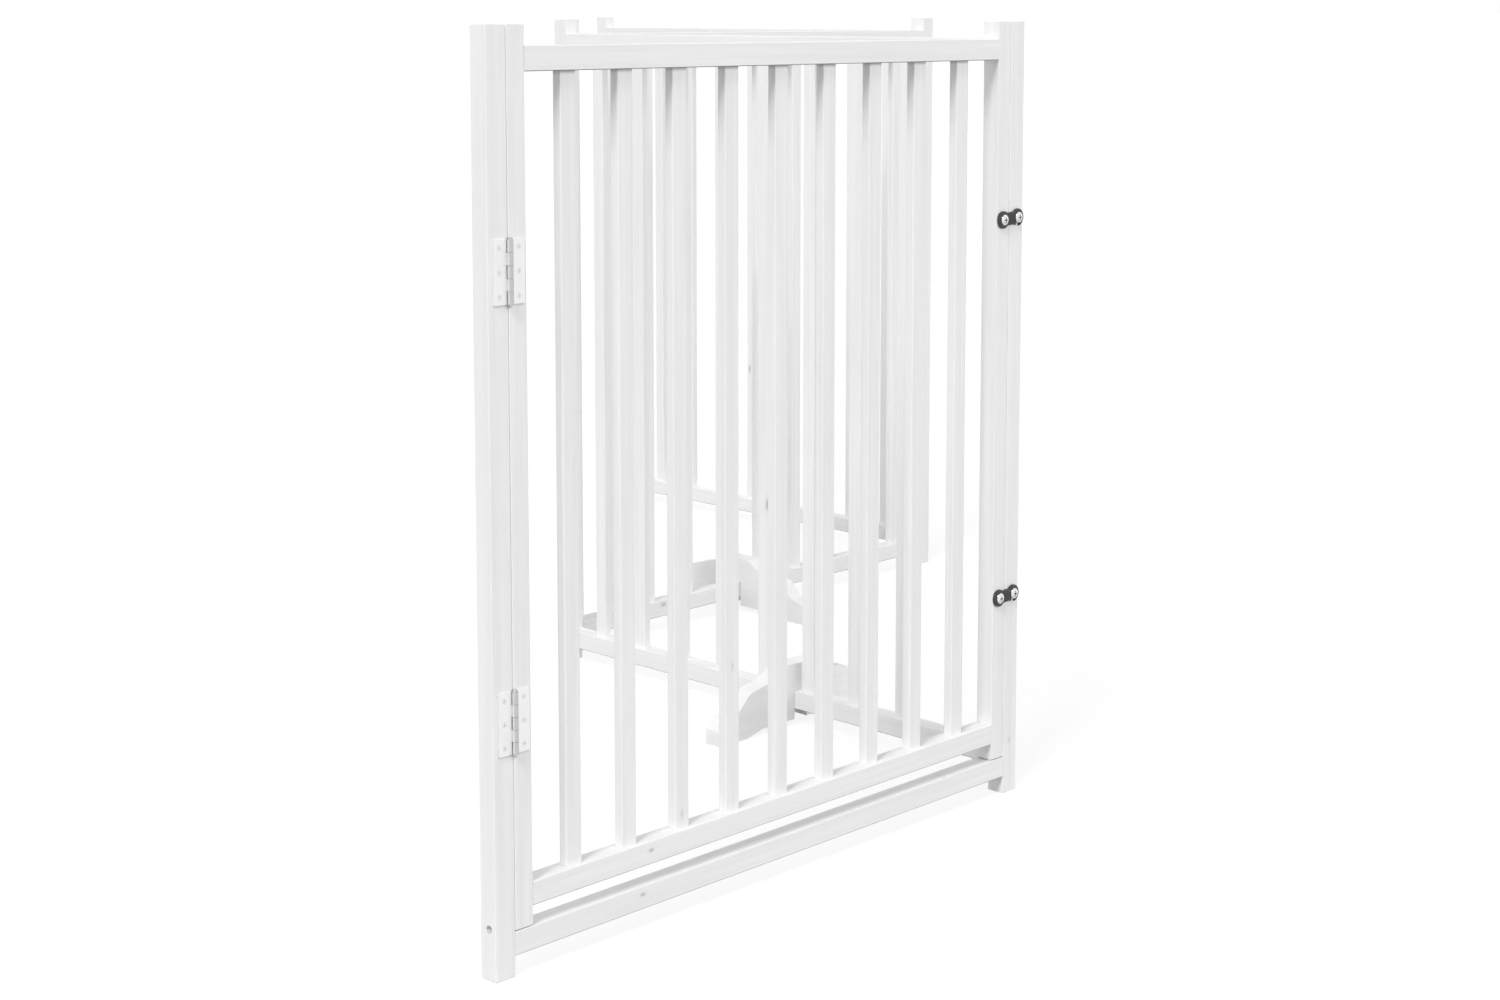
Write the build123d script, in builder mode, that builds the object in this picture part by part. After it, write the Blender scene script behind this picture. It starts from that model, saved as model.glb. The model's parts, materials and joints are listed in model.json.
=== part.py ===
# Folding wooden pet gate: four hinged panels in a zigzag, a walk-through door in the first one,
# two saddle feet. Millimetres, +X along the span of the gate, +Y to the left, +Z up.
# Each panel has its own coordinates: s along its width, t back from its front face, z up.
from build123d import *
import math
import os

os.makedirs("parts", exist_ok=True)

# ---------------------------------------------------------------- panels and timber
gate_height = 910.0
panel_width = 800.0
timber_depth = 22.0
mid_depth = timber_depth / 2
post_width = 24.5
stile_width = 22.0
rail_height = 24.0
edge_round = 1.0
low_rail_base = 20.5
top_rail_drop = 20.0
top_rail_base = gate_height - top_rail_drop - rail_height
rail_start = post_width
rail_end = panel_width - post_width

# ---------------------------------------------------------------- door
door_side_gap = 0.6
door_sill_gap = 1.0
door_rail_inset = 19.0
door_top = gate_height
door_base = low_rail_base + rail_height + door_sill_gap
door_low_rail_base = door_base + door_rail_inset
door_start = post_width + door_side_gap
door_end = panel_width - post_width - door_side_gap
door_rail_start = door_start + stile_width
door_rail_end = door_end - stile_width

# ---------------------------------------------------------------- slats in their mortises
slat_count = 9
slat_width = 20.0
slat_depth = 11.0
slat_round = 1.5
slat_end_gap = 48.2
mortise_depth = 8.0
mortise_gap = 0.15
mortise_top_gap = 0.3

# ---------------------------------------------------------------- dowels in the rail joints
dowel_radius = 3.0
dowel_gap = 0.02
dowel_length = 30.0
dowel_in_rail = dowel_length / 2
dowel_in_post = dowel_length - dowel_in_rail + 0.3
dowel_offset = 6.0
dowel_chamfer = 0.6

# ---------------------------------------------------------------- hinges
body_gap = 0.3
hinge_height = 61.0
hinge_low = 251.0
hinge_drop = 229.0
hinge_centres = (hinge_low, gate_height - hinge_drop)
leaf_reach = 19.0
leaf_thick = 1.5
leaf_corner = 1.5
barrel_radius = 3.0
axis_offset = barrel_radius + body_gap
leaf_inner = 1.2
leaf_relief = barrel_radius + body_gap
knuckle_count = 5
knuckle = hinge_height / knuckle_count
pin_radius = 1.6
pin_grip_gap = 0.01
pin_turn_gap = 0.05
pin_tip = 3.0
pin_head_radius = 2.3
pin_head_height = 2.0
pin_round = 0.7
fold_end_gap = 1.5

# countersunk hinge screws
screw_reach = 12.0
screw_spacing = 23.0
screw_head_radius = 3.5
screw_radius = 2.0
screw_in_wood = 10.5
screw_point = 2.5
recess_length = 3.6
recess_width = 0.8
recess_depth = 0.8

# ---------------------------------------------------------------- latch hooks and their screws
latch_low = 239.0
latch_drop = 227.0
latch_heights = (latch_low, gate_height - latch_drop)
latch_pivot_inset = 12.4
latch_catch_inset = 13.0
latch_pivot_s = door_end - latch_pivot_inset
latch_catch_s = rail_end + latch_catch_inset
latch_span = latch_catch_s - latch_pivot_s
latch_rise = 1.7
latch_disc_radius = 10.0
latch_waist = 14.6
latch_thick = 2.6
latch_chamfer = 0.4
latch_slot_gap = 0.4
latch_slot_sweep = -40.0
neck_radius = 2.8
neck_turn_gap = 0.05
pan_radius = 6.2
pan_height = 2.8
pan_rim = 0.9
latch_screw_radius = 2.2
latch_screw_in_wood = 10.0
pan_recess_length = 6.0
pan_recess_width = 1.2
pan_recess_depth = 1.3
latch_radius = math.hypot(latch_span, latch_rise)
latch_tilt = math.degrees(math.atan2(latch_rise, latch_span))
latch_front = body_gap + latch_thick
pan_seat = latch_front + body_gap

# ---------------------------------------------------------------- saddle feet
foot_thick = 25.0
foot_slat_count = 4
foot_front_shift = -10.1
foot_rear_shift = 0.0
foot_half = 149.0
foot_side_gap = 0.4
foot_pad_start = 100.0
foot_arch_end = 72.0
foot_arch_height = 7.0
foot_over_rail = 36.0
foot_top = low_rail_base + rail_height + foot_over_rail
foot_toe_height = 13.0
# crest line as shares of half the length and of the height
foot_crest = [
    (0.161, 1.0),
    (0.221, 0.957),
    (0.295, 0.870),
    (0.383, 0.807),
    (0.497, 0.764),
    (0.591, 0.727),
    (0.651, 0.677),
    (0.698, 0.602),
    (0.738, 0.528),
    (0.785, 0.460),
    (0.899, 0.391),
    (0.946, 0.348),
    (0.980, 0.273),
]

# ---------------------------------------------------------------- end hole of the first post
end_bore_radius = 4.25
end_bore_depth = 12.0
end_bore_t = 9.5
end_bore_z = 51.0

# ---------------------------------------------------------------- plan of the zigzag
diag = math.sqrt(0.5)
along = {1: (diag, -diag), 2: (diag, diag), 3: (diag, -diag), 4: (diag, diag)}
inward = {1: (diag, diag), 2: (diag, -diag), 3: (diag, diag), 4: (diag, -diag)}
hand = {1: 1, 2: -1, 3: 1, 4: -1}
start = {1: (0.0, 0.0)}
for panel in (1, 2, 3):
    far_s = panel_width + fold_end_gap
    far_t = timber_depth + axis_offset
    axis_x = start[panel][0] + along[panel][0] * far_s + inward[panel][0] * far_t
    axis_y = start[panel][1] + along[panel][1] * far_s + inward[panel][1] * far_t
    start[panel + 1] = (
        axis_x + along[panel + 1][0] * fold_end_gap + inward[panel + 1][0] * axis_offset,
        axis_y + along[panel + 1][1] * fold_end_gap + inward[panel + 1][1] * axis_offset,
    )
latch_edge = latch_catch_s + latch_disc_radius + latch_front - latch_chamfer
span_end = start[4][0] + diag * (panel_width + timber_depth)
right_edge = -diag * max(latch_edge, panel_width)
left_edge = diag * timber_depth - edge_round * (math.sqrt(2) - 1)
shift_x = -span_end / 2
shift_y = -(right_edge + left_edge) / 2
for panel in start:
    start[panel] = (start[panel][0] + shift_x, start[panel][1] + shift_y)


def spot(panel, s, t, z=0.0):
    """Point at s along a panel, t behind its front face, z above the floor."""
    x = start[panel][0] + along[panel][0] * s + inward[panel][0] * t
    y = start[panel][1] + along[panel][1] * s + inward[panel][1] * t
    return (x, y, z)


def level_plane(panel, z):
    """Horizontal plane at height z: x is s, y is t times the panel's hand."""
    ux, uy = along[panel]
    return Plane(origin=spot(panel, 0, 0, z), x_dir=(ux, uy, 0), z_dir=(0, 0, 1))


def face_plane(panel, t):
    """Upright plane along the panel, t behind its front: x is s, y is z."""
    ux, uy = along[panel]
    return Plane(origin=spot(panel, 0, t), x_dir=(ux, uy, 0), z_dir=(uy, -ux, 0))


def cross_plane(panel, s):
    """Upright plane across the panel at s: x is t, y is z."""
    bx, by = inward[panel]
    return Plane(origin=spot(panel, s, 0), x_dir=(bx, by, 0), z_dir=(by, -bx, 0))


def save(node, piece):
    piece.part.label = node
    export_step(piece.part, f"parts/{node}.step")


def dowel_spots(rail_base):
    """Centres (t, z) of the two dowels in one end of a rail."""
    middle = rail_base + rail_height / 2
    return [(mid_depth, middle - dowel_offset), (mid_depth, middle + dowel_offset)]


def hinge_screw_heights():
    """Heights of all screws in one leaf pair's column, lower hinge first."""
    heights = []
    for centre in hinge_centres:
        for step in (-1, 0, 1):
            heights.append(centre + step * screw_spacing)
    return heights


def slat_centres(first, last):
    """Slat centre lines between two uprights, with the same gap at both ends."""
    left = first + slat_end_gap + slat_width / 2
    right = last - slat_end_gap - slat_width / 2
    pitch = (right - left) / (slat_count - 1)
    return [left + pitch * index for index in range(slat_count)]


# ---------------------------------------------------------------- timber
def upright(node, panel, s_from, s_to, z_from, z_to, rails, rail_side, pilots, bore=False):
    """Post or stile. rails: rail base heights. rail_side: s of the face the rails butt on.
    pilots: (s, t of the drilled face, heights, radius, depth) for each set of screw holes."""
    width = s_to - s_from
    side = hand[panel]
    with BuildPart() as post:
        with BuildSketch(level_plane(panel, z_from)):
            with Locations((s_from + width / 2, side * mid_depth)):
                RectangleRounded(width, timber_depth, edge_round)
        extrude(amount=z_to - z_from)
        fillet(post.edges().group_by(Axis.Z)[-1], edge_round)
        fillet(post.edges().group_by(Axis.Z)[0], edge_round)
        inner = -1 if rail_side == s_to else 1
        for base in rails:
            with BuildSketch(cross_plane(panel, rail_side)):
                with Locations(*dowel_spots(base)):
                    Circle(dowel_radius + dowel_gap)
            extrude(amount=inner * side * dowel_in_post, mode=Mode.SUBTRACT)
        for hole_s, face_t, heights, radius, depth in pilots:
            into = 1 if face_t == 0 else -1
            with BuildSketch(face_plane(panel, face_t)):
                with Locations(*[(hole_s, height) for height in heights]):
                    Circle(radius)
            extrude(amount=-into * side * depth, mode=Mode.SUBTRACT)
        if bore:
            with BuildSketch(cross_plane(panel, s_from)):
                with Locations((end_bore_t, end_bore_z)):
                    Circle(end_bore_radius)
            extrude(amount=side * end_bore_depth, mode=Mode.SUBTRACT)
    save(node, post)


def rail(node, panel, s_from, s_to, base, centres, mortise_side):
    """Rail between two uprights. mortise_side: 1 opens upward, -1 downward, 0 has none."""
    side = hand[panel]
    with BuildPart() as bar:
        with BuildSketch(cross_plane(panel, s_from)):
            with Locations((mid_depth, base + rail_height / 2)):
                RectangleRounded(timber_depth, rail_height, edge_round)
        extrude(amount=side * (s_to - s_from))
        if mortise_side:
            opening = base + rail_height if mortise_side == 1 else base
            with BuildSketch(level_plane(panel, opening)):
                with Locations(*[(centre, side * mid_depth) for centre in centres]):
                    Rectangle(slat_width + 2 * mortise_gap, slat_depth + 2 * mortise_gap)
            extrude(amount=-mortise_side * mortise_depth, mode=Mode.SUBTRACT)
        for end, into in ((s_from, 1), (s_to, -1)):
            with BuildSketch(cross_plane(panel, end)):
                with Locations(*dowel_spots(base)):
                    Circle(dowel_radius + dowel_gap)
            extrude(amount=into * side * dowel_in_rail, mode=Mode.SUBTRACT)
    save(node, bar)


def slats(node, panel, centres, lower_base, upper_base):
    """Slats standing on the floors of the lower mortises."""
    foot_z = lower_base + rail_height - mortise_depth
    head_z = upper_base + mortise_depth - mortise_top_gap
    with BuildPart() as bars:
        with BuildSketch(level_plane(panel, foot_z)):
            with Locations(*[(centre, hand[panel] * mid_depth) for centre in centres]):
                RectangleRounded(slat_width, slat_depth, slat_round)
        extrude(amount=head_z - foot_z)
    save(node, bars)


def dowels(node, panel, s_from, s_to, rails):
    """Two dowels at each end of each rail, seated on the floors of the rail's holes."""
    side = hand[panel]
    with BuildPart() as pegs:
        for end, into in ((s_from, 1), (s_to, -1)):
            with BuildSketch(cross_plane(panel, end + into * dowel_in_rail)):
                for base in rails:
                    with Locations(*dowel_spots(base)):
                        Circle(dowel_radius)
            extrude(amount=-into * side * dowel_length)
        chamfer(pegs.edges().filter_by(GeomType.CIRCLE), dowel_chamfer)
    save(node, pegs)


fold_near_s = -fold_end_gap + screw_reach
fold_far_s = panel_width + fold_end_gap - screw_reach
door_axis_s = post_width + door_side_gap / 2
column = hinge_screw_heights()
front_holes = (fold_near_s, 0, column, screw_radius, screw_in_wood)
back_holes = (fold_far_s, timber_depth, column, screw_radius, screw_in_wood)
door_post_holes = (door_axis_s - screw_reach, 0, column, screw_radius, screw_in_wood)
door_stile_holes = (door_axis_s + screw_reach, 0, column, screw_radius, screw_in_wood)
pivot_holes = (latch_pivot_s, 0, latch_heights, latch_screw_radius, latch_screw_in_wood)
catch_heights = tuple(height + latch_rise for height in latch_heights)
catch_holes = (latch_catch_s, 0, catch_heights, latch_screw_radius, latch_screw_in_wood)

# panel 1: a frame without a top rail
upright("p1_left_post", 1, 0, post_width, 0, gate_height, [low_rail_base], post_width,
        [door_post_holes], bore=True)
upright("p1_right_post", 1, rail_end, panel_width, 0, gate_height, [low_rail_base], rail_end,
        [back_holes, catch_holes])
rail("p1_threshold_rail", 1, rail_start, rail_end, low_rail_base, [], 0)
dowels("p1_dowels", 1, rail_start, rail_end, [low_rail_base])

# the door
door_rails = [door_low_rail_base, top_rail_base]
door_centres = slat_centres(door_rail_start, door_rail_end)
upright("door_left_stile", 1, door_start, door_rail_start, door_base, door_top, door_rails,
        door_rail_start, [door_stile_holes])
upright("door_right_stile", 1, door_rail_end, door_end, door_base, door_top, door_rails,
        door_rail_end, [pivot_holes])
rail("door_top_rail", 1, door_rail_start, door_rail_end, top_rail_base, door_centres, -1)
rail("door_bottom_rail", 1, door_rail_start, door_rail_end, door_low_rail_base, door_centres, 1)
for index, centre in enumerate(door_centres):
    slats(f"door_slat_{index + 1}", 1, [centre], door_low_rail_base, top_rail_base)
dowels("door_dowels", 1, door_rail_start, door_rail_end, door_rails)

# panels 2, 3 and 4
panel_rails = [low_rail_base, top_rail_base]
panel_centres = slat_centres(rail_start, rail_end)
for panel in (2, 3, 4):
    far_holes = [back_holes] if panel < 4 else []
    upright(f"p{panel}_near_post", panel, 0, post_width, 0, gate_height, panel_rails, post_width,
            [front_holes])
    upright(f"p{panel}_far_post", panel, rail_end, panel_width, 0, gate_height, panel_rails,
            rail_end, far_holes)
    rail(f"p{panel}_top_rail", panel, rail_start, rail_end, top_rail_base, panel_centres, -1)
    rail(f"p{panel}_bottom_rail", panel, rail_start, rail_end, low_rail_base, panel_centres, 1)
    slats(f"p{panel}_slats", panel, panel_centres, low_rail_base, top_rail_base)
    dowels(f"p{panel}_dowels", panel, rail_start, rail_end, panel_rails)


# ---------------------------------------------------------------- saddle feet
def foot(node, panel, shift):
    """Saddle foot across a panel, notched from below to drop over the bottom rail."""
    notch_half = mid_depth + foot_side_gap
    notch_top = low_rail_base + rail_height + body_gap
    flat_half = foot_crest[0][0] * foot_half
    crest = [(along_share * foot_half, up_share * foot_top) for along_share, up_share in foot_crest]
    crest.append((foot_half, foot_toe_height))
    between = (panel_centres[foot_slat_count - 1] + panel_centres[foot_slat_count]) / 2
    with BuildPart() as saddle:
        with BuildSketch(cross_plane(panel, between + shift - foot_thick / 2)):
            with BuildLine():
                for turn in (-1, 1):
                    edge = [(mid_depth + turn * d, z) for d, z in crest]
                    outer_x = mid_depth + turn * foot_half
                    Spline(*edge, tangents=[(turn, 0), (0, -1)])
                    Polyline(
                        (outer_x, foot_toe_height),
                        (outer_x, 0),
                        (mid_depth + turn * foot_pad_start, 0),
                        (mid_depth + turn * foot_arch_end, foot_arch_height),
                        (mid_depth + turn * notch_half, foot_arch_height),
                        (mid_depth + turn * notch_half, notch_top),
                    )
                Line(
                    (mid_depth - notch_half, notch_top),
                    (mid_depth + notch_half, notch_top),
                )
                Line(
                    (mid_depth - flat_half, foot_top),
                    (mid_depth + flat_half, foot_top),
                )
            make_face()
        extrude(amount=hand[panel] * foot_thick)
    save(node, saddle)


foot("foot_front", 2, foot_front_shift)
foot("foot_rear", 3, foot_rear_shift)


# ---------------------------------------------------------------- hinges
def knuckle_bounds(centre, index):
    """Lower and upper end of one knuckle, counted from the bottom, with the running gap."""
    low = centre - hinge_height / 2 + index * knuckle
    high = low + knuckle
    if index > 0:
        low += body_gap / 2
    if index < knuckle_count - 1:
        high -= body_gap / 2
    return low, high


def leaf_plane(axis_panel, axis_s, axis_t, way, z):
    """Horizontal plane on the hinge axis: x runs out along the leaf."""
    ux, uy = along[axis_panel]
    return Plane(
        origin=spot(axis_panel, axis_s, axis_t, z),
        x_dir=(way * ux, way * uy, 0),
        z_dir=(0, 0, 1),
    )


def leaf_side(panel, way, timber_side):
    """Sign of the plane's y towards the timber. timber_side: 1 behind the axis, -1 before it."""
    return way * hand[panel] * timber_side


def leaves(node, panel, axis_s, axis_t, way, timber_side, kept, bore_radius):
    """One leaf for each hinge height. kept: knuckles, from the bottom, that belong to it."""
    side = leaf_side(panel, way, timber_side)
    plate_mid = side * (axis_offset - leaf_thick / 2)
    with BuildPart() as leaf:
        for centre in hinge_centres:
            base = centre - hinge_height / 2
            with BuildSketch(leaf_plane(panel, axis_s, axis_t, way, base)):
                with Locations(((leaf_inner + leaf_reach) / 2, plate_mid)):
                    Rectangle(leaf_reach - leaf_inner, leaf_thick)
            extrude(amount=hinge_height)
        run = leaf_plane(panel, axis_s, axis_t, way, 0)
        short = leaf.edges().filter_by(Axis(run.origin, run.y_dir))
        outer = short.sort_by(Axis(run.origin, run.x_dir))[-2 * len(hinge_centres):]
        fillet(outer, leaf_corner)
        for centre in hinge_centres:
            for index in range(knuckle_count):
                low, high = knuckle_bounds(centre, index)
                own = index in kept
                if own:
                    with BuildSketch(leaf_plane(panel, axis_s, axis_t, way, low)):
                        Circle(barrel_radius)
                    extrude(amount=high - low)
                else:
                    cut_low = low - body_gap if index > 0 else low
                    cut_high = high + body_gap if index < knuckle_count - 1 else high
                    with BuildSketch(leaf_plane(panel, axis_s, axis_t, way, cut_low)):
                        with Locations((leaf_relief / 2, plate_mid)):
                            Rectangle(leaf_relief, leaf_thick)
                    extrude(amount=cut_high - cut_low, mode=Mode.SUBTRACT)
            bottom = centre - hinge_height / 2
            with BuildSketch(leaf_plane(panel, axis_s, axis_t, way, bottom)):
                Circle(bore_radius)
            extrude(amount=hinge_height, mode=Mode.SUBTRACT)
        for height in column:
            screw_shape(panel, axis_s, axis_t, way, side, height, Mode.SUBTRACT)
    save(node, leaf)


def screw_shape(panel, axis_s, axis_t, way, side, height, mode):
    """Countersunk screw turned about a line square to the leaf."""
    plane = leaf_plane(panel, axis_s, axis_t, way, height)
    head = axis_offset - leaf_thick
    neck = axis_offset
    tip = axis_offset + screw_in_wood
    with BuildSketch(plane) as profile:
        with BuildLine():
            Polyline(
                (screw_reach, side * head),
                (screw_reach + screw_head_radius, side * head),
                (screw_reach + screw_radius, side * neck),
                (screw_reach + screw_radius, side * (tip - screw_point)),
                (screw_reach, side * tip),
                close=True,
            )
        make_face()
    turn = Axis(plane.from_local_coords((screw_reach, 0, 0)), plane.y_dir)
    revolve(profile.sketch, axis=turn, mode=mode)


def recess(plane, length, width, depth):
    """Cross-shaped driver recess sunk from a plane whose normal points out of the head."""
    with BuildSketch(plane) as cross:
        Rectangle(length, width)
        Rectangle(width, length)
    extrude(cross.sketch, amount=-depth, mode=Mode.SUBTRACT)


def hinge_screws(node, sets):
    """sets: (panel, axis s, axis t, way, timber side) of each column of screws."""
    with BuildPart() as screws:
        for panel, axis_s, axis_t, way, timber_side in sets:
            side = leaf_side(panel, way, timber_side)
            bx, by = inward[panel]
            out = (-timber_side * bx, -timber_side * by, 0)
            for height in column:
                screw_shape(panel, axis_s, axis_t, way, side, height, Mode.ADD)
                face_t = axis_t + timber_side * (axis_offset - leaf_thick)
                centre = spot(panel, axis_s + way * screw_reach, face_t, height)
                face = Plane(origin=centre, x_dir=(0, 0, 1), z_dir=out)
                recess(face, recess_length, recess_width, recess_depth)
    save(node, screws)


def pins(node, panel, axis_s, axis_t):
    """Two headed pins, each resting with its head on the top knuckle."""
    with BuildPart() as rods:
        for centre in hinge_centres:
            base = centre - hinge_height / 2 - pin_tip
            top = centre + hinge_height / 2
            with BuildSketch(leaf_plane(panel, axis_s, axis_t, 1, base)):
                Circle(pin_radius)
            extrude(amount=top - base)
            with BuildSketch(leaf_plane(panel, axis_s, axis_t, 1, top)):
                Circle(pin_head_radius)
            extrude(amount=pin_head_height)
            rings = rods.edges().filter_by(GeomType.CIRCLE)
            ends = [
                ring for ring in rings
                if abs(ring.center().Z - base) < pin_round
                or abs(ring.center().Z - top - pin_head_height) < pin_round
            ]
            fillet(ends, pin_round)
    save(node, rods)


even_knuckles = (1, 3)
odd_knuckles = (0, 2, 4)
pin_grip = pin_radius + pin_grip_gap
pin_turn = pin_radius + pin_turn_gap
front_axis_t = -axis_offset
back_axis_t = timber_depth + axis_offset
near_axis_s = -fold_end_gap
far_axis_s = panel_width + fold_end_gap

# door hinges: the door's leaf holds the pin
leaves("door_hinge_post_leaves", 1, door_axis_s, front_axis_t, -1, 1, even_knuckles, pin_turn)
leaves("door_hinge_door_leaves", 1, door_axis_s, front_axis_t, 1, 1, odd_knuckles, pin_grip)
pins("door_hinge_pins", 1, door_axis_s, front_axis_t)

# fold hinges: the leaf on the back of the nearer panel holds the pin
for panel in (1, 2, 3):
    beyond = panel + 1
    leaves(f"fold_{panel}{beyond}_near_leaves", panel, far_axis_s, back_axis_t, -1, -1,
           odd_knuckles, pin_grip)
    leaves(f"fold_{panel}{beyond}_far_leaves", beyond, near_axis_s, front_axis_t, 1, 1,
           even_knuckles, pin_turn)
    pins(f"fold_{panel}{beyond}_pins", panel, far_axis_s, back_axis_t)

door_post_column = (1, door_axis_s, front_axis_t, -1, 1)
door_stile_column = (1, door_axis_s, front_axis_t, 1, 1)
hinge_screws("door_hinge_screws", [door_stile_column])
hinge_screws("p1_hinge_screws", [door_post_column, (1, far_axis_s, back_axis_t, -1, -1)])
for panel in (2, 3):
    hinge_screws(f"p{panel}_hinge_screws", [
        (panel, near_axis_s, front_axis_t, 1, 1),
        (panel, far_axis_s, back_axis_t, -1, -1),
    ])
hinge_screws("p4_hinge_screws", [(4, near_axis_s, front_axis_t, 1, 1)])


# ---------------------------------------------------------------- latch
def hook_plane(height, t):
    """Upright plane on a hook's pivot, x towards its catch, normal out of the front."""
    ux, uy = along[1]
    bx, by = inward[1]
    flat = math.cos(math.radians(latch_tilt))
    rise = math.sin(math.radians(latch_tilt))
    return Plane(
        origin=spot(1, latch_pivot_s, t, height),
        x_dir=(flat * ux, flat * uy, rise),
        z_dir=(-bx, -by, 0),
    )


def hook(node, height):
    """Flat swing hook: a ring round its pivot screw, an open jaw over the catch screw."""
    with BuildPart() as plate:
        with BuildSketch(hook_plane(height, -body_gap)):
            Circle(latch_disc_radius)
            with Locations((latch_radius, 0)):
                Circle(latch_disc_radius)
            with Locations((latch_radius / 2, 0)):
                Rectangle(latch_radius, latch_waist)
            Circle(neck_radius + neck_turn_gap, mode=Mode.SUBTRACT)
            jaw = neck_radius + latch_slot_gap
            with BuildLine():
                outer = CenterArc((0, 0), latch_radius + jaw, 0, latch_slot_sweep)
                inner = CenterArc((0, 0), latch_radius - jaw, 0, latch_slot_sweep)
                CenterArc((latch_radius, 0), jaw, 0, 180)
                Line(outer @ 1, inner @ 1)
            make_face(mode=Mode.SUBTRACT)
        extrude(amount=latch_thick)
        out = Axis(hook_plane(height, 0).origin, hook_plane(height, 0).z_dir)
        chamfer(plate.faces().sort_by(out)[-1].edges(), latch_chamfer)
    save(node, plate)


def latch_screws(node, s, heights):
    """Domed pan-head screws with a plain neck that keeps the head clear of the hook."""
    ux, uy = along[1]
    bx, by = inward[1]
    dome = pan_height - pan_rim
    with BuildPart() as screws:
        for height in heights:
            plane = Plane(origin=spot(1, s, 0, height), x_dir=(ux, uy, 0), z_dir=(0, 0, 1))
            with BuildSketch(plane):
                with BuildLine():
                    Polyline(
                        (0, -pan_seat - pan_height),
                        (0, latch_screw_in_wood),
                        (latch_screw_radius, latch_screw_in_wood - screw_point),
                        (latch_screw_radius, 0),
                        (neck_radius, 0),
                        (neck_radius, -pan_seat),
                        (pan_radius, -pan_seat),
                        (pan_radius, -pan_seat - pan_rim),
                    )
                    EllipticalCenterArc(
                        (0, -pan_seat - pan_rim), pan_radius, dome, start_angle=-90, arc_size=90
                    )
                make_face()
            revolve(axis=Axis(plane.origin, plane.y_dir))
            crown = spot(1, s, -pan_seat - pan_height, height)
            face = Plane(origin=crown, x_dir=(0, 0, 1), z_dir=(-bx, -by, 0))
            recess(face, pan_recess_length, pan_recess_width, pan_recess_depth)
    save(node, screws)


hook("latch_hook_lower", latch_heights[0])
hook("latch_hook_upper", latch_heights[1])
latch_screws("latch_pivot_screws", latch_pivot_s, latch_heights)
latch_screws("latch_catch_screws", latch_catch_s, catch_heights)
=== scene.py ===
# Looks of the folding wooden pet gate: painted timber, plated hinges, chrome screws, black hooks.
import json
import math

import bmesh
import bpy
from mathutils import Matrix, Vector


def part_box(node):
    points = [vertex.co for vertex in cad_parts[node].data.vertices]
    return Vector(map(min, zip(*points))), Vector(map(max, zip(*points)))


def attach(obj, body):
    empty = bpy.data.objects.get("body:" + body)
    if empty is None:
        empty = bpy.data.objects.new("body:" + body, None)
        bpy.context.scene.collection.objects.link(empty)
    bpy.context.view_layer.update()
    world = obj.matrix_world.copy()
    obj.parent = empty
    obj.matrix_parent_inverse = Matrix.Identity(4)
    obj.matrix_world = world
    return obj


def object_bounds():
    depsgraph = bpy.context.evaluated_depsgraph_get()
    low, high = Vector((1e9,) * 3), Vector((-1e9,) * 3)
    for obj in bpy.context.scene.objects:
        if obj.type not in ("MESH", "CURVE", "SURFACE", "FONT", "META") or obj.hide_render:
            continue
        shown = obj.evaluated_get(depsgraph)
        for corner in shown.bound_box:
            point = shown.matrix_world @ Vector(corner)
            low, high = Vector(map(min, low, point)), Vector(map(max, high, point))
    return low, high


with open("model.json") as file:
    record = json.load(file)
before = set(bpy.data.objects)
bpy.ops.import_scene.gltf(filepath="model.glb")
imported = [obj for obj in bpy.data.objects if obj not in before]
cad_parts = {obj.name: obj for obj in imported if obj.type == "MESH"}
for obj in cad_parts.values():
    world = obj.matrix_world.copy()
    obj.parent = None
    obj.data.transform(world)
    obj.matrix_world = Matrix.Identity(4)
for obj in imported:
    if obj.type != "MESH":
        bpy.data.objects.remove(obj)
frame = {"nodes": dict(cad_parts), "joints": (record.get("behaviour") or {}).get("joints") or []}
cad_low, cad_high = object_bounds()
nodes = frame["nodes"]
joints = {joint["name"]: joint for joint in frame["joints"]}

MM = 0.001
DIAG = math.sqrt(0.5)
UP = (0, 0, 1)
DOWN = (0, 0, -1)
SLAT_HALF_DEPTH = 5.5 * MM
TIMBER_HALF_DEPTH = 11.0 * MM

# ------------------------------------------------------------ paint and metal
PAINT_TONES = (0.802, 0.906)
# Lighter tones for the feet: painted light, lifting them out of the shade they stand in.
FOOT_LIFTED_TONES = (0.88, 0.97)
GRAIN_SHIFT_PER_PIECE = (1.37, 0.71, 0.43)
STREAK_WEIGHT = 1.2
FIBRE_WEIGHT = 0.22
MOTTLE_WEIGHT = 0.2
KNOT_HALO = (0.70, 0.70, 0.69, 1.0)
KNOT_CORE = (0.43, 0.425, 0.41, 1.0)

# Shading that is painted on where plain light doesn't give the photo's tones: sides of the
# slats and a band under the top rail, lower edges of the rails, and a line under a hinge leaf.
RAIL_SHADOW_GREY = 0.40
SLAT_SIDE_AMOUNT = 0.3
SLAT_SIDE_FADE = (0.090, 0.012)
RAIL_BAND_AMOUNT = 0.7
RAIL_BAND_HEIGHT = 0.0045
RAIL_EDGE_AMOUNT = 0.85
RAIL_EDGE_SHADE = 0.12
LEAF_SHADOW_GREY = 0.40
LEAF_LINE_AMOUNT = 0.5
LEAF_LINE_RISE = (-0.0026, -0.0012)
LEAF_LINE_END = 0.0002
LEAF_REACH = (0.0180, 0.0192)

# Sides in another grey, as painted light inside the door's seams and painted shade on the feet's
# tops and ends: how much of it, and the grey.
SEAM_PAINTED_LIGHT = (0.95, 0.985)
FOOT_TOP = (0.13, 0.4)
FOOT_END = (0.15, 0.4)

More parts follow.
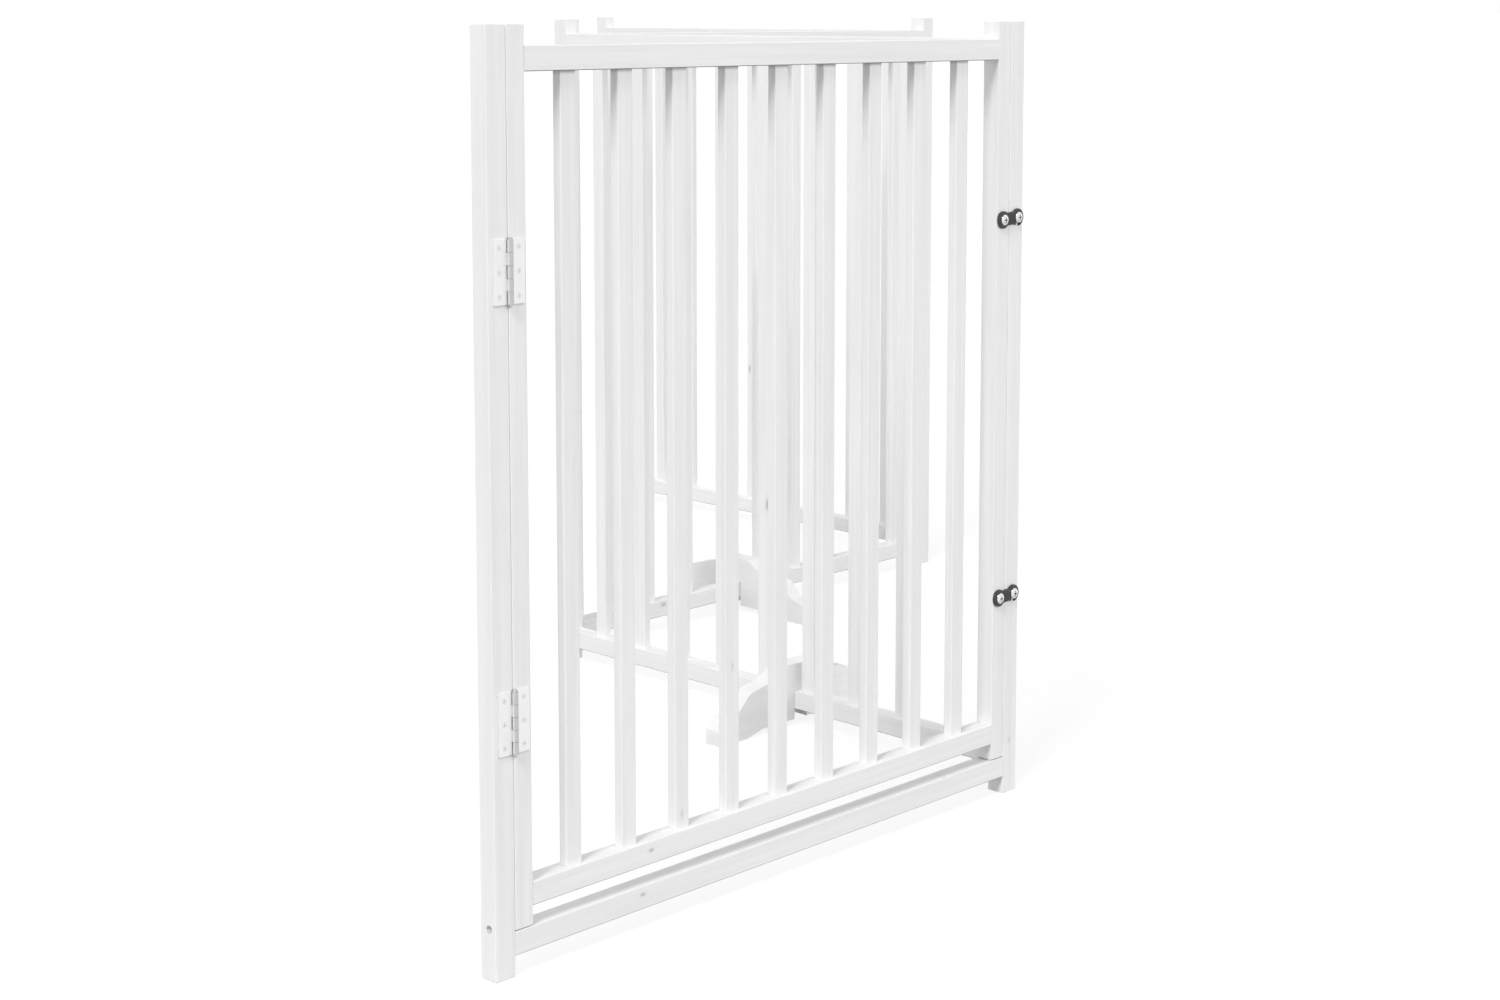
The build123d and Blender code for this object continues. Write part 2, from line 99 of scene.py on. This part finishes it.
# Painted shade on the hinge barrels. On the door hinge: painted light on one side of the barrel
# and a painted highlight on the plate edges.
BARREL_EDGE = (0.0031, 0.0036)
PLATE_EDGE_HIGHLIGHT = 0.99
POST_BARREL_SHADE = 0.85
DOOR_BARREL_SHADE = 0.82

# Painted shade on the chrome screw heads: inside the driver recess and on each head's lower half.
RECESS_DEPTH = (-0.00055, -0.00042)
RECESS_RADIUS = (0.0033, 0.0035)
HEAD_RADIUS = (0.009, 0.010)
HEAD_LOWER_HALF = (-0.0045, 0.0015)

# ------------------------------------------------------------ light, floor and camera
# name, direction to the lamp, strength, angle across in degrees, shows in glossy surfaces
SUNS = (
    ("key", (-0.60, 0.31, 0.74), 1.75, 16, True),
    ("left", (-0.45, 0.88, 0.14), 0.965, 60, False),
    ("right", (-0.45, -0.88, 0.14), 1.96, 60, False),
    ("back", (0.85, 0.2, 0.15), 1.35, 60, False),
)
WORLD_LEVEL = 0.37
FLOOR_HALF = 400.0
FLOOR_DROP = 0.0002
FLOOR_BOUNCE = (0.45, 0.47)
FLOOR_SHADOWED = 0.2
FLOOR_GLOW = 0.83

# The photo's framing in metres, radians and pixels, with less than half of its vertical shift,
# so that other views show the whole gate.
CAMERA_SPOT = (-3.35586, 0.06287, 0.92246)
CAMERA_YAW = -0.01337
CAMERA_PITCH = 0.11077
CAMERA_FOCAL_PX = 2380.47
CAMERA_SHIFT = -0.15
PHOTO_WIDTH_PX = 1500
SENSOR_MM = 36.0


# ------------------------------------------------------------ where things are
along = {1: Vector((DIAG, -DIAG, 0)), 2: Vector((DIAG, DIAG, 0))}
along[3] = along[1]
along[4] = along[2]
inward = {1: along[2], 2: along[1], 3: along[2], 4: along[1]}
turns = {1: -45.0, 2: 45.0, 3: -45.0, 4: 45.0}


def centre(name):
    low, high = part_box(name)
    return (low + high) / 2


def panel_of(name):
    """Number of the panel that a timber node stands in, or 0."""
    if name.startswith("door_"):
        return 1
    return int(name[1]) if name[1].isdigit() else 0


def front_spot(name, rise, shift, half_depth):
    """Point on a piece's front face: rise above the floor, shift along the panel."""
    panel = panel_of(name)
    spot = centre(name) + along[panel] * shift - inward[panel] * half_depth
    return (spot.x, spot.y, rise)


# ------------------------------------------------------------ shader helpers
def grey(level):
    return (level, level, level, 1.0)


class Graph:
    """The node tree of a material or world, with short calls to add and link nodes."""

    def __init__(self, owner, output="ShaderNodeOutputMaterial"):
        self.owner = owner
        self.owner.use_nodes = True
        self.tree = self.owner.node_tree
        self.tree.nodes.clear()
        self.output = self.tree.nodes.new(output)

    def put(self, socket, value):
        if isinstance(value, bpy.types.NodeSocket):
            self.tree.links.new(value, socket)
        else:
            socket.default_value = value

    def node(self, kind, inputs=None, **settings):
        made = self.tree.nodes.new(kind)
        for key, value in settings.items():
            setattr(made, key, value)
        for key, value in (inputs or {}).items():
            self.put(made.inputs[key], value)
        return made

    def math(self, operation, first, second=0.0):
        made = self.node("ShaderNodeMath", {0: first, 1: second}, operation=operation)
        return made.outputs[0]

    def swing(self, value, amount):
        """A value round 0.5, made to swing round 0 by amount."""
        return self.math("MULTIPLY", self.math("SUBTRACT", value, 0.5), amount)

    def vector(self, operation, first, second=(0, 0, 0)):
        made = self.node("ShaderNodeVectorMath", {0: first, 1: second}, operation=operation)
        return made.outputs["Value" if operation in ("LENGTH", "DOT_PRODUCT") else "Vector"]

    def noise(self, vector, scale, detail, roughness):
        inputs = {"Vector": vector, "Scale": scale, "Detail": detail, "Roughness": roughness}
        return self.node("ShaderNodeTexNoise", inputs).outputs["Fac"]

    def stretched_noise(self, vector, scales, detail, roughness):
        return self.noise(self.vector("MULTIPLY", vector, scales), 1.0, detail, roughness)

    def ramp(self, value, low, high, out_low=0.0, out_high=1.0, smooth=False):
        inputs = {"Value": value, "From Min": low, "From Max": high}
        inputs.update({"To Min": out_low, "To Max": out_high})
        made = self.node("ShaderNodeMapRange", inputs)
        made.interpolation_type = "SMOOTHSTEP" if smooth else "LINEAR"
        return made.outputs["Result"]

    def mix(self, factor, first, second):
        made = self.node("ShaderNodeMix", data_type="RGBA")
        self.put(made.inputs[0], factor)
        self.put(made.inputs[6], first)
        self.put(made.inputs[7], second)
        return made.outputs[2]

    def bump(self, height, strength, distance):
        inputs = {"Height": height, "Strength": strength, "Distance": distance}
        return self.node("ShaderNodeBump", inputs).outputs["Normal"]

    def place(self):
        return self.node("ShaderNodeTexCoord").outputs["Object"]

    def facing(self):
        return self.node("ShaderNodeTexCoord").outputs["Normal"]

    def height_of(self, place):
        return self.node("ShaderNodeSeparateXYZ", {0: place}).outputs[2]

    def turned_back(self, vector, turn):
        """A vector turned by -turn degrees about z, so that x runs along the piece."""
        inputs = {"Vector": vector, "Angle": math.radians(-turn)}
        made = self.node("ShaderNodeVectorRotate", inputs, rotation_type="Z_AXIS")
        return made.outputs[0]

    def along_piece(self, turn):
        """Object coordinates with x along the piece. turn: degrees about z, None if upright."""
        place = self.place()
        if turn is not None:
            return self.turned_back(place, turn)
        parts = self.node("ShaderNodeSeparateXYZ", {0: place}).outputs
        inputs = {0: parts[2], 1: parts[0], 2: parts[1]}
        return self.node("ShaderNodeCombineXYZ", inputs).outputs[0]

    def seen(self):
        """1 for rays that show a surface to the camera, straight or mirrored or through it."""
        rays = self.node("ShaderNodeLightPath").outputs
        bent = self.math("MAXIMUM", rays["Is Glossy Ray"], rays["Is Transmission Ray"])
        return self.math("MAXIMUM", rays["Is Camera Ray"], bent)

    def surface(self, shader):
        self.tree.links.new(shader.outputs[0], self.output.inputs["Surface"])
        return self.owner

    def finish(self, color, roughness, normal, metallic=0.0):
        inputs = {"Base Color": color, "Roughness": roughness}
        inputs.update({"Metallic": metallic, "Normal": normal})
        return self.surface(self.node("ShaderNodeBsdfPrincipled", inputs))


def new_graph(name):
    return Graph(bpy.data.materials.new(name))


# ------------------------------------------------------------ painted timber
def paint_rail_shadow(graph, color, place, facing, rail_foot, sideways):
    """Painted shadow of the top rail: greyer sides and a dark band where a slat runs up into it.
    """
    rise = graph.height_of(place)
    side = graph.math("ABSOLUTE", graph.vector("DOT_PRODUCT", facing, sideways))
    side = graph.ramp(side, 0.6, 0.9, 0.0, SLAT_SIDE_AMOUNT, smooth=True)
    begin, full = SLAT_SIDE_FADE
    fade = graph.ramp(rise, rail_foot - begin, rail_foot - full)
    color = graph.mix(graph.math("MULTIPLY", side, fade), color, grey(RAIL_SHADOW_GREY))
    band = graph.ramp(
        rise, rail_foot - RAIL_BAND_HEIGHT, rail_foot, 0.0, RAIL_BAND_AMOUNT, smooth=True
    )
    return graph.mix(band, color, grey(RAIL_SHADOW_GREY))


def paint_leaf_shadows(graph, color, place, facing, feet):
    """Painted shadow: a thin dark line on the front face under each of the door's hinge leaves.
    """
    front = graph.vector("DOT_PRODUCT", facing, -along[2])
    front = graph.ramp(front, 0.8, 0.95, 0.0, LEAF_LINE_AMOUNT)
    away = graph.vector("SUBTRACT", place, Vector(joints["door_swing"]["pos_m"]))
    aside = graph.math("ABSOLUTE", graph.vector("DOT_PRODUCT", away, along[1]))
    front = graph.math("MULTIPLY", front, graph.ramp(aside, *LEAF_REACH, 1.0, 0.0))
    rise = graph.height_of(place)
    for foot in feet:
        low, full = LEAF_LINE_RISE
        line = graph.math(
            "MULTIPLY",
            graph.ramp(rise, foot + low, foot + full),
            graph.ramp(rise, foot, foot + LEAF_LINE_END, 1.0, 0.0),
        )
        color = graph.mix(graph.math("MULTIPLY", line, front), color, grey(LEAF_SHADOW_GREY))
    return color


def paint_rail_edge_shade(graph, color, facing):
    """Painted shade on the rounded edges below a rail. Its flat underside stays light."""
    down = graph.vector("DOT_PRODUCT", facing, DOWN)
    edge = graph.math(
        "MULTIPLY",
        graph.ramp(down, 0.02, 0.35, 0.0, RAIL_EDGE_AMOUNT, smooth=True),
        graph.ramp(down, 0.93, 0.99, 1.0, 0.0),
    )
    return graph.mix(edge, color, grey(RAIL_EDGE_SHADE))


def painted_wood(name, turn, seed, knot=None, tones=PAINT_TONES, joint=None, sides=(),
                 rail=False, leaf_feet=()):
    """White satin paint over softwood: streaks along the board, faint mottle, and a knot that
    shows grey through the paint.
    turn: see along_piece. seed: shifts the grain.
    knot: centre, half width, half length, strength.
    joint: height of the rail that a slat runs up into, and direction of the slat's sides, for the
    painted shadow under that rail.
    sides: direction, amount and grey for each side in another grey: painted light where lighter,
    painted shade where darker.
    rail: the piece has painted shade on its lower edges. leaf_feet: heights where a hinge leaf
    ends, each with a painted shadow line under it."""
    graph = new_graph(name)
    shift = tuple(seed * step for step in GRAIN_SHIFT_PER_PIECE)
    run = graph.vector("ADD", graph.along_piece(turn), shift)
    streak = graph.stretched_noise(run, (5.0, 210.0, 210.0), 3.0, 0.55)
    tone = graph.stretched_noise(run, (2.2, 62.0, 62.0), 2.0, 0.5)
    fibre = graph.stretched_noise(run, (45.0, 1100.0, 1100.0), 2.0, 0.6)
    mottle = graph.noise(run, 30.0, 2.0, 0.5)
    weights = ((streak, STREAK_WEIGHT), (fibre, FIBRE_WEIGHT), (mottle, MOTTLE_WEIGHT))
    for part, weight in weights:
        tone = graph.math("ADD", tone, graph.swing(part, weight))
    color = graph.mix(tone, grey(tones[0]), grey(tones[1]))
    height = graph.math(
        "ADD", graph.math("MULTIPLY", streak, 0.6), graph.math("MULTIPLY", fibre, 0.4)
    )
    place = graph.place()
    facing = graph.facing()
    if knot is not None:
        spot, half_width, half_length, strength = knot
        away = graph.vector("SUBTRACT", place, spot)
        size = (1 / half_width, 1 / half_width, 1 / half_length)
        if turn is not None:
            away = graph.turned_back(away, turn)
            size = (1 / half_length, 1 / half_width, 1 / half_width)
        reach = graph.vector("LENGTH", graph.vector("MULTIPLY", away, size))
        reach = graph.math("ADD", reach, graph.swing(graph.noise(place, 420.0, 2.0, 0.6), 0.7))
        halo = graph.ramp(reach, 0.9, 2.6, 0.32 * strength, 0.0, smooth=True)
        core = graph.ramp(reach, 0.35, 1.25, strength, 0.0, smooth=True)
        color = graph.mix(halo, color, KNOT_HALO)
        color = graph.mix(graph.math("MULTIPLY", core, 0.8), color, KNOT_CORE)
        height = graph.math("SUBTRACT", height, graph.math("MULTIPLY", core, 0.5))
    # Painted shadow of the top rail on a slat.
    if joint is not None:
        color = paint_rail_shadow(graph, color, place, facing, *joint)
    # Painted light and shade on the sides given in sides.
    for direction, amount, shade in sides:
        toward = graph.vector("DOT_PRODUCT", facing, direction)
        toward = graph.ramp(toward, 0.4, 0.9, 0.0, amount, smooth=True)
        color = graph.mix(toward, color, grey(shade))
    # Painted shadow lines under the door's hinge leaves.
    if leaf_feet:
        color = paint_leaf_shadows(graph, color, place, facing, leaf_feet)
    # Painted shade on the lower edges of a rail.
    if rail:
        color = paint_rail_edge_shade(graph, color, facing)
    roughness = graph.ramp(mottle, 0.3, 0.7, 0.44, 0.56)
    return graph.finish(color, roughness, graph.bump(height, 0.22, 0.00022))


def bare_wood(name, turn):
    """Plain beech for the dowels."""
    graph = new_graph(name)
    grain = graph.stretched_noise(graph.along_piece(turn), (25.0, 900.0, 900.0), 3.0, 0.6)
    color = graph.mix(grain, (0.56, 0.40, 0.24, 1.0), (0.74, 0.58, 0.39, 1.0))
    roughness = graph.ramp(grain, 0.3, 0.7, 0.55, 0.7)
    return graph.finish(color, roughness, graph.bump(grain, 0.2, 0.0002))


# ------------------------------------------------------------ metal and plastic
def plated_steel(name, axes, curl_shade=None):
    """Satin nickel plate, brushed lengthways, with painted shade on the barrel round each hinge
    axis.
    curl_shade: for a leaf of the door hinge, the grey of painted light on its barrel's left (+y)
    side. The plate's outer edges get a painted highlight then."""
    graph = new_graph(name)
    place = graph.place()
    brush = graph.stretched_noise(place, (1500.0, 1500.0, 40.0), 2.0, 0.6)
    cloud = graph.noise(place, 60.0, 2.0, 0.5)
    flat = graph.vector("MULTIPLY", place, (1, 1, 0))
    near = None
    for x, y in axes:
        away = graph.vector("SUBTRACT", flat, (x, y, 0))
        reach = graph.vector("LENGTH", away)
        near = reach if near is None else graph.math("MINIMUM", near, reach)
    plate = graph.mix(cloud, grey(0.85), grey(0.91))
    # Painted shade on the barrel.
    barrel_shade = graph.mix(brush, grey(0.50), grey(0.62))
    # Painted light on the barrel's left side and a painted highlight on the plate's outer edges.
    if curl_shade is not None:
        toward = graph.vector("DOT_PRODUCT", graph.vector("NORMALIZE", away), (0, 1, 0))
        barrel_shade = graph.mix(graph.ramp(toward, 0.1, 0.5, smooth=True), barrel_shade, grey(curl_shade))
        side = graph.math("ABSOLUTE", graph.vector("DOT_PRODUCT", graph.facing(), along[1]))
        plate = graph.mix(graph.ramp(side, 0.5, 0.8), plate, grey(PLATE_EDGE_HIGHLIGHT))
    color = graph.mix(graph.ramp(near, *BARREL_EDGE, 1.0, 0.0), plate, barrel_shade)
    roughness = graph.ramp(brush, 0.3, 0.7, 0.3, 0.42)
    return graph.finish(color, roughness, graph.bump(brush, 0.12, 0.0001), metallic=1.0)


def screw_steel(name):
    """Plated countersunk screws, a shade duller than the leaves they hold."""
    graph = new_graph(name)
    brush = graph.stretched_noise(graph.place(), (900.0, 900.0, 900.0), 2.0, 0.6)
    color = graph.mix(brush, grey(0.76), grey(0.88))
    roughness = graph.ramp(brush, 0.3, 0.7, 0.24, 0.36)
    return graph.finish(color, roughness, graph.bump(brush, 0.1, 0.0001), metallic=1.0)


def bright_chrome(name, heads, out):
    """Bright plate with fine handling marks, with painted shade on the lower half of each head
    and inside its driver recess. heads: outer end of each screw. out: direction they point to."""
    graph = new_graph(name)
    place = graph.place()
    inside = None
    lower_half_shade = None
    for head in heads:
        away = graph.vector("SUBTRACT", place, head)
        depth = graph.vector("DOT_PRODUCT", away, out)
        rise = graph.vector("DOT_PRODUCT", away, UP)
        reach = graph.vector("LENGTH", away)
        below = graph.math(
            "MULTIPLY",
            graph.ramp(depth, *RECESS_DEPTH, 1.0, 0.0),
            graph.ramp(reach, *RECESS_RADIUS, 1.0, 0.0),
        )
        inside = below if inside is None else graph.math("MAXIMUM", inside, below)
        lower = graph.math(
            "MULTIPLY",
            graph.ramp(rise, *HEAD_LOWER_HALF, 1.0, 0.0, smooth=True),
            graph.ramp(reach, *HEAD_RADIUS, 1.0, 0.0),
        )
        lower_half_shade = lower if lower_half_shade is None else graph.math("MAXIMUM", lower_half_shade, lower)
    marks = graph.stretched_noise(place, (500.0, 500.0, 2600.0), 3.0, 0.6)
    cloud = graph.noise(place, 180.0, 2.0, 0.5)
    color = graph.mix(cloud, (0.78, 0.785, 0.79, 1.0), grey(0.88))
    # Painted shade on the lower half of each head and inside each driver recess.
    color = graph.mix(lower_half_shade, color, grey(0.56))
    color = graph.mix(inside, color, grey(0.08))
    roughness = graph.ramp(marks, 0.3, 0.75, 0.07, 0.16)
    return graph.finish(color, roughness, graph.bump(marks, 0.06, 0.00006), metallic=1.0)


def black_plastic(name):
    """Black moulded plastic with a fine spark-eroded texture."""
    graph = new_graph(name)
    place = graph.place()
    cloud = graph.noise(place, 260.0, 2.0, 0.5)
    grain = graph.noise(place, 3200.0, 2.0, 0.6)
    color = graph.mix(cloud, (0.022, 0.022, 0.023, 1.0), (0.040, 0.040, 0.041, 1.0))
    roughness = graph.ramp(grain, 0.3, 0.7, 0.38, 0.5)
    return graph.finish(color, roughness, graph.bump(grain, 0.25, 0.00008))


# ------------------------------------------------------------ dress the CAD nodes
# node: height, shift along the panel, half depth of the piece, half width, half length, strength
KNOTS = {
    "door_slat_3": (0.103, 0.0, SLAT_HALF_DEPTH, 0.0024, 0.0055, 0.38),
    "door_slat_4": (0.244, 0.0, SLAT_HALF_DEPTH, 0.0020, 0.0050, 0.4),
    "p1_right_post": (0.063, -0.001, TIMBER_HALF_DEPTH, 0.0019, 0.004, 0.45),
    "door_bottom_rail": (0.079, -0.196, TIMBER_HALF_DEPTH, 0.0022, 0.004, 0.8),
    "p1_threshold_rail": (0.036, -0.208, TIMBER_HALF_DEPTH, 0.0022, 0.004, 0.8),
    "p3_bottom_rail": (0.038, -0.216, TIMBER_HALF_DEPTH, 0.0034, 0.0055, 0.85),
    "p2_slats": (0.281, -0.007, SLAT_HALF_DEPTH, 0.0032, 0.0082, 1.0),
    "p4_slats": (0.281, 0.003, SLAT_HALF_DEPTH, 0.0022, 0.0070, 1.0),
}
# Faces inside the door's two seams, towards the piece on the other side: painted lighter, as
# painted light that lifts the shade in the seams.
SEAM_SIDES = {
    "p1_left_post": along[1],
    "door_left_stile": -along[1],
    "door_right_stile": along[1],
    "p1_right_post": -along[1],
}


def dress(names, material):
    for name in names:
        mesh = nodes[name].data
        mesh.materials.clear()
        mesh.materials.append(material)


def knot_on(name):
    if name not in KNOTS:
        return None
    rise, shift, half_depth, half_width, half_length, strength = KNOTS[name]
    return front_spot(name, rise, shift, half_depth), half_width, half_length, strength


def timber_paint(name, seed, leaf_feet):
    """Paint for a post, stile, slat or rail."""
    panel = panel_of(name)
    rail = name.endswith("_rail")
    return painted_wood(
        "paint_" + name,
        turns[panel] if rail else None,
        seed,
        knot=knot_on(name),
        # Painted shadow under the top rail on a slat.
        joint=(rail_foot, along[panel]) if "slat" in name else None,
        # Painted light on the faces inside the door's seams.
        sides=[(SEAM_SIDES[name], *SEAM_PAINTED_LIGHT)] if name in SEAM_SIDES else (),
        # Painted shade on a rail's lower edges.
        rail=rail,
        # Painted shadow lines under the hinge leaves.
        leaf_feet=leaf_feet if name in ("p1_left_post", "door_left_stile") else (),
    )


def foot_paint(name, seed):
    """Lighter paint for a foot as painted light, lifting it out of the shade it stands in, with
    painted shade on its top and its two ends.
    """
    # A foot stands across its own panel, so it runs the way that the panel before it runs.
    before = 2 if name == "foot_rear" else 1
    ends = along[before]
    # Painted shade on the foot's top and its two ends.
    painted_shade_sides = ((UP, *FOOT_TOP), (ends, *FOOT_END), (-ends, *FOOT_END))
    return painted_wood("paint_" + name, turns[before], seed, tones=FOOT_LIFTED_TONES, sides=painted_shade_sides)


def leaf_ends(name):
    """Heights of the lower ends of the two leaves in a hinge node."""
    heights = [vertex.co.z for vertex in nodes[name].data.vertices]
    middle = (min(heights) + max(heights)) / 2
    return min(heights), min(z for z in heights if z > middle)


rail_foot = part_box("door_top_rail")[0].z
leaf_feet = leaf_ends("door_hinge_post_leaves")
seed = 0
for name in sorted(nodes):
    upright = any(word in name for word in ("post", "stile", "slat")) and "leaves" not in name
    if upright or name.endswith("_rail"):
        seed += 1
        dress([name], timber_paint(name, seed, leaf_feet))
    elif name.startswith("foot_"):
        seed += 1
        dress([name], foot_paint(name, seed))
    elif name.endswith("_dowels"):
        dress([name], bare_wood("beech_" + name, turns[panel_of(name)]))

hinge_axes = [
    joints[name]["pos_m"][:2] for name in ("door_swing", "fold_1_2", "fold_2_3", "fold_3_4")
]
steel = plated_steel("satin_nickel", hinge_axes)
dress([name for name in nodes if name.endswith(("leaves", "_pins"))], steel)
# The door hinge's leaves, each with painted light on its barrel's left side, lighter on the
# post's leaf than on the door's.
for node, finish, shade in (
    ("door_hinge_post_leaves", "satin_nickel_post", POST_BARREL_SHADE),
    ("door_hinge_door_leaves", "satin_nickel_door", DOOR_BARREL_SHADE),
):
    dress([node], plated_steel(finish, hinge_axes[:1], shade))
dress([name for name in nodes if name.endswith("hinge_screws")], screw_steel("screw_steel"))
latch_out = Vector(joints["latch_upper"]["axis"])


def crowns(name):
    """Outer end of each of the two screws in a latch node, on the screw's own axis."""
    points = [vertex.co for vertex in nodes[name].data.vertices]
    middle = centre(name).z
    found = []
    for own in ([p for p in points if p.z < middle], [p for p in points if p.z > middle]):
        side = [p.dot(along[1]) for p in own]
        rise = [p.z for p in own]
        spot = along[1] * (min(side) + max(side)) / 2
        spot += latch_out * max(p.dot(latch_out) for p in own)
        spot.z = (min(rise) + max(rise)) / 2
        found.append(spot)
    return found


latch_crowns = crowns("latch_pivot_screws") + crowns("latch_catch_screws")
chrome = bright_chrome("bright_chrome", latch_crowns, latch_out)
dress(["latch_pivot_screws", "latch_catch_screws"], chrome)
plastic = black_plastic("black_plastic")
dress(["latch_hook_lower", "latch_hook_upper"], plastic)


# ------------------------------------------------------------ grip ribs on the hooks
RIB_COUNT = 5
RIB_FIRST = 8.6 * MM
RIB_STEP = 2.2 * MM
# A hook slopes up from its pivot screw to its catch screw: rise over run.
HOOK_SLOPE = 1.7 / 26.0
RIB_FLOOR = -0.2
# across the rib and out of the hook, mm
RIB_SECTION = (
    (-0.55, RIB_FLOOR),
    (-0.42, 0.16),
    (-0.18, 0.26),
    (0.18, 0.26),
    (0.42, 0.16),
    (0.55, RIB_FLOOR),
)
# along the rib and how far the section is sunk there, mm
RIB_STATIONS = ((-5.6, 0.3), (-5.2, 0.0), (5.2, 0.0), (5.6, 0.3))


def add_rib(bm, middle, way, rise, out):
    rows = []
    for across, height in RIB_SECTION:
        row = []
        for up, sink in RIB_STATIONS:
            spot = middle + way * across * MM + rise * up * MM
            spot += out * max(height - sink, RIB_FLOOR) * MM
            row.append(bm.verts.new(spot))
        rows.append(row)
    for first, second in zip(rows, rows[1:] + rows[:1]):
        for a in range(len(RIB_STATIONS) - 1):
            bm.faces.new((first[a], second[a], second[a + 1], first[a + 1]))
    bm.faces.new([row[0] for row in reversed(rows)])
    bm.faces.new([row[-1] for row in rows])


def hook_ribs(name, node, joint, body):
    """Low ribs across the waist of a hook, between its two screw heads."""
    pivot = Vector(joints[joint]["pos_m"])
    out = Vector(joints[joint]["axis"])
    tilt = math.atan(HOOK_SLOPE)
    way = along[1] * math.cos(tilt) + Vector((0, 0, math.sin(tilt)))
    rise = out.cross(way)
    face = pivot + out * (max(p.co.dot(out) for p in nodes[node].data.vertices) - pivot.dot(out))
    bm = bmesh.new()
    for index in range(RIB_COUNT):
        add_rib(bm, face + way * (RIB_FIRST + RIB_STEP * index), way, rise, out)
    bmesh.ops.recalc_face_normals(bm, faces=bm.faces)
    mesh = bpy.data.meshes.new(name)
    bm.to_mesh(mesh)
    bm.free()
    mesh.shade_smooth()
    mesh.materials.append(plastic)
    ribs = bpy.data.objects.new(name, mesh)
    bpy.context.scene.collection.objects.link(ribs)
    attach(ribs, body)


hook_ribs("hook_ribs_upper", "latch_hook_upper", "latch_upper", "hook_upper")
hook_ribs("hook_ribs_lower", "latch_hook_lower", "latch_lower", "hook_lower")


# ------------------------------------------------------------ floor, world, lamps and camera
def make_floor():
    mesh = bpy.data.meshes.new("floor")
    half = FLOOR_HALF
    corners = [(-half, -half, 0), (half, -half, 0), (half, half, 0), (-half, half, 0)]
    mesh.from_pydata(corners, [], [(0, 1, 2, 3)])
    floor = bpy.data.objects.new("floor", mesh)
    bpy.context.scene.collection.objects.link(floor)
    floor.location.z = cad_low.z - FLOOR_DROP
    graph = new_graph("floor_pale")
    grain = graph.noise(graph.place(), 3.0, 2.0, 0.5)
    bounce = graph.mix(grain, *(grey(level) for level in FLOOR_BOUNCE))
    matte = graph.node("ShaderNodeBsdfDiffuse", {"Color": bounce})
    shadowed = graph.node("ShaderNodeBsdfDiffuse", {"Color": grey(FLOOR_SHADOWED)})
    glow = graph.node("ShaderNodeEmission", {"Color": grey(1.0), "Strength": FLOOR_GLOW})
    pale = graph.node("ShaderNodeAddShader", {0: shadowed.outputs[0], 1: glow.outputs[0]})
    both = {0: graph.seen(), 1: matte.outputs[0], 2: pale.outputs[0]}
    mesh.materials.append(graph.surface(graph.node("ShaderNodeMixShader", both)))


def make_world():
    graph = Graph(bpy.data.worlds.new("studio"), "ShaderNodeOutputWorld")
    strength = graph.ramp(graph.seen(), 0.0, 1.0, WORLD_LEVEL, 1.0)
    inputs = {"Color": grey(1.0), "Strength": strength}
    bpy.context.scene.world = graph.surface(graph.node("ShaderNodeBackground", inputs))


def make_sun(name, toward, strength, angle, glints):
    light = bpy.data.lights.new(name, "SUN")
    light.energy = strength
    light.angle = math.radians(angle)
    lamp = bpy.data.objects.new(name, light)
    bpy.context.scene.collection.objects.link(lamp)
    lamp.rotation_mode = "QUATERNION"
    lamp.rotation_quaternion = Vector(toward).to_track_quat("Z", "Y")
    lamp.visible_glossy = glints


def make_camera():
    data = bpy.data.cameras.new("camera")
    data.sensor_width = SENSOR_MM
    data.lens = CAMERA_FOCAL_PX / PHOTO_WIDTH_PX * SENSOR_MM
    data.shift_y = CAMERA_SHIFT
    data.clip_start = 0.05
    data.clip_end = 2000.0
    camera = bpy.data.objects.new("camera", data)
    bpy.context.scene.collection.objects.link(camera)
    camera.location = CAMERA_SPOT
    level = Vector((math.cos(CAMERA_YAW), math.sin(CAMERA_YAW), 0))
    ahead = level * math.cos(CAMERA_PITCH) - Vector((0, 0, math.sin(CAMERA_PITCH)))
    camera.rotation_mode = "QUATERNION"
    camera.rotation_quaternion = ahead.to_track_quat("-Z", "Y")
    bpy.context.scene.camera = camera


make_floor()
make_world()
for sun in SUNS:
    make_sun(*sun)
make_camera()
bpy.context.scene.view_settings.view_transform = "Standard"
